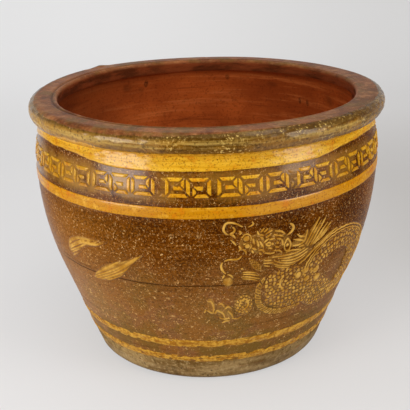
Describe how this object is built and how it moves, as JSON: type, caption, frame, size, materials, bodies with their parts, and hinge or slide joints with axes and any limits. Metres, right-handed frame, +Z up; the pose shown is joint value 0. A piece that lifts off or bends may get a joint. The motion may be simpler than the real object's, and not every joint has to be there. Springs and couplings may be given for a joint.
{
  "type": "martaban jar",
  "caption": "Wide open stoneware jar with a rolled rim, brown glaze, yellow slip bands, a stamped key fret and dragons in low relief; holds water, food stores or plants.",
  "frame": {"origin": "centre of the standing face under the base slab", "axes": "+Z up along the jar's axis, the pictured front facing -Y"},
  "size_m": [0.499, 0.499, 0.374],
  "materials": {
    "foot_clay": "dull thin glaze over rough clay",
    "inside_clay": "matt wiped red clay",
    "brown_glaze": "glossy speckled brown glaze",
    "rim_glaze": "olive glaze worn to purple-brown on top",
    "yellow_slip": "brushed yellow slip under clear glaze",
    "fret_slip": "yellow slip worn at the edges, under clear glaze",
    "relief_slip": "ochre slip with brown in the hollows"
  },
  "bodies": {
    "root": {"base_slab": "foot_clay", "floor_coil": "inside_clay", "lower_wall": "brown_glaze", "upper_wall": "brown_glaze", "rim_roll": "rim_glaze", "collar_band": "yellow_slip", "girdle_band": "yellow_slip", "foot_band_upper": "yellow_slip", "foot_band_lower": "yellow_slip", "fret_spirals": "fret_slip", "fret_keys": "fret_slip", "front_dragon_head": "relief_slip", "front_dragon_nose_flame": "relief_slip", "front_dragon_horn": "relief_slip", "front_dragon_whisker": "relief_slip", "front_dragon_pearl": "relief_slip", "front_dragon_neck": "relief_slip", "front_dragon_mane": "relief_slip", "front_dragon_arch": "relief_slip", "front_dragon_belly_plates": "relief_slip", "front_dragon_coil": "relief_slip", "front_dragon_fore_claws": "relief_slip", "front_dragon_haunch": "relief_slip", "front_dragon_hind_claws": "relief_slip", "front_dragon_tail_leaf": "relief_slip", "back_dragon_head": "relief_slip", "back_dragon_nose_flame": "relief_slip", "back_dragon_horn": "relief_slip", "back_dragon_whisker": "relief_slip", "back_dragon_pearl": "relief_slip", "back_dragon_neck": "relief_slip", "back_dragon_mane": "relief_slip", "back_dragon_arch": "relief_slip", "back_dragon_belly_plates": "relief_slip", "back_dragon_coil": "relief_slip", "back_dragon_fore_claws": "relief_slip", "back_dragon_haunch": "relief_slip", "back_dragon_hind_claws": "relief_slip", "back_dragon_tail_leaf": "relief_slip", "front_wisp_left": "yellow_slip", "front_wisp_right": "yellow_slip", "back_wisp_left": "yellow_slip", "back_wisp_right": "yellow_slip"}
  },
  "joints": []
}
